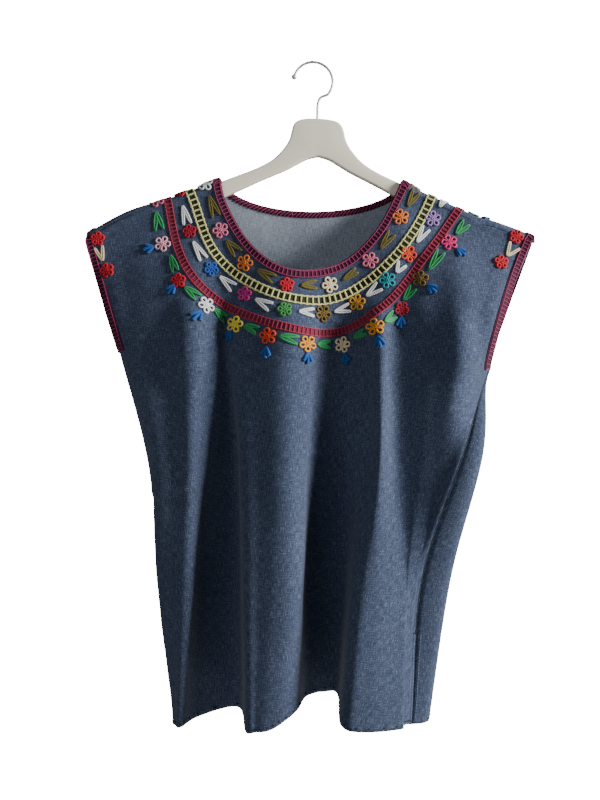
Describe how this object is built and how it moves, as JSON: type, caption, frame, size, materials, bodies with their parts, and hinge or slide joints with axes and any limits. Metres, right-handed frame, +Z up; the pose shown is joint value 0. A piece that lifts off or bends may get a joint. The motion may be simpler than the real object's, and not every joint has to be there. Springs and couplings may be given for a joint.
{
  "type": "huipil blouse on a wooden hanger",
  "caption": "Short-sleeved indigo cotton blouse with embroidered rings round its scooped neck, hanging in soft folds on a plain wooden hanger with a steel hook.",
  "frame": {"origin": "underside of the top of the hook, where it bears on the rail or peg it hangs from", "axes": "+X to the right as seen from the front, +Y towards the back, +Z up"},
  "size_m": [0.5589, 0.1476, 0.8275],
  "materials": {
    "indigo_cloth": "matt woven cotton",
    "plum_binding": "matt cotton thread and tape",
    "pale_thread": "soft cotton thread",
    "wine_thread": "soft cotton thread",
    "wood": "smooth pale satin wood",
    "steel": "polished wire"
  },
  "bodies": {
    "root": {"front": "indigo_cloth", "back": "indigo_cloth", "neck_binding": "plum_binding", "armhole_binding_left": "plum_binding", "armhole_binding_right": "plum_binding", "pale_ladder": "pale_thread", "wine_ladder": "wine_thread", "hanger": "wood", "hook": "steel"}
  },
  "joints": []
}
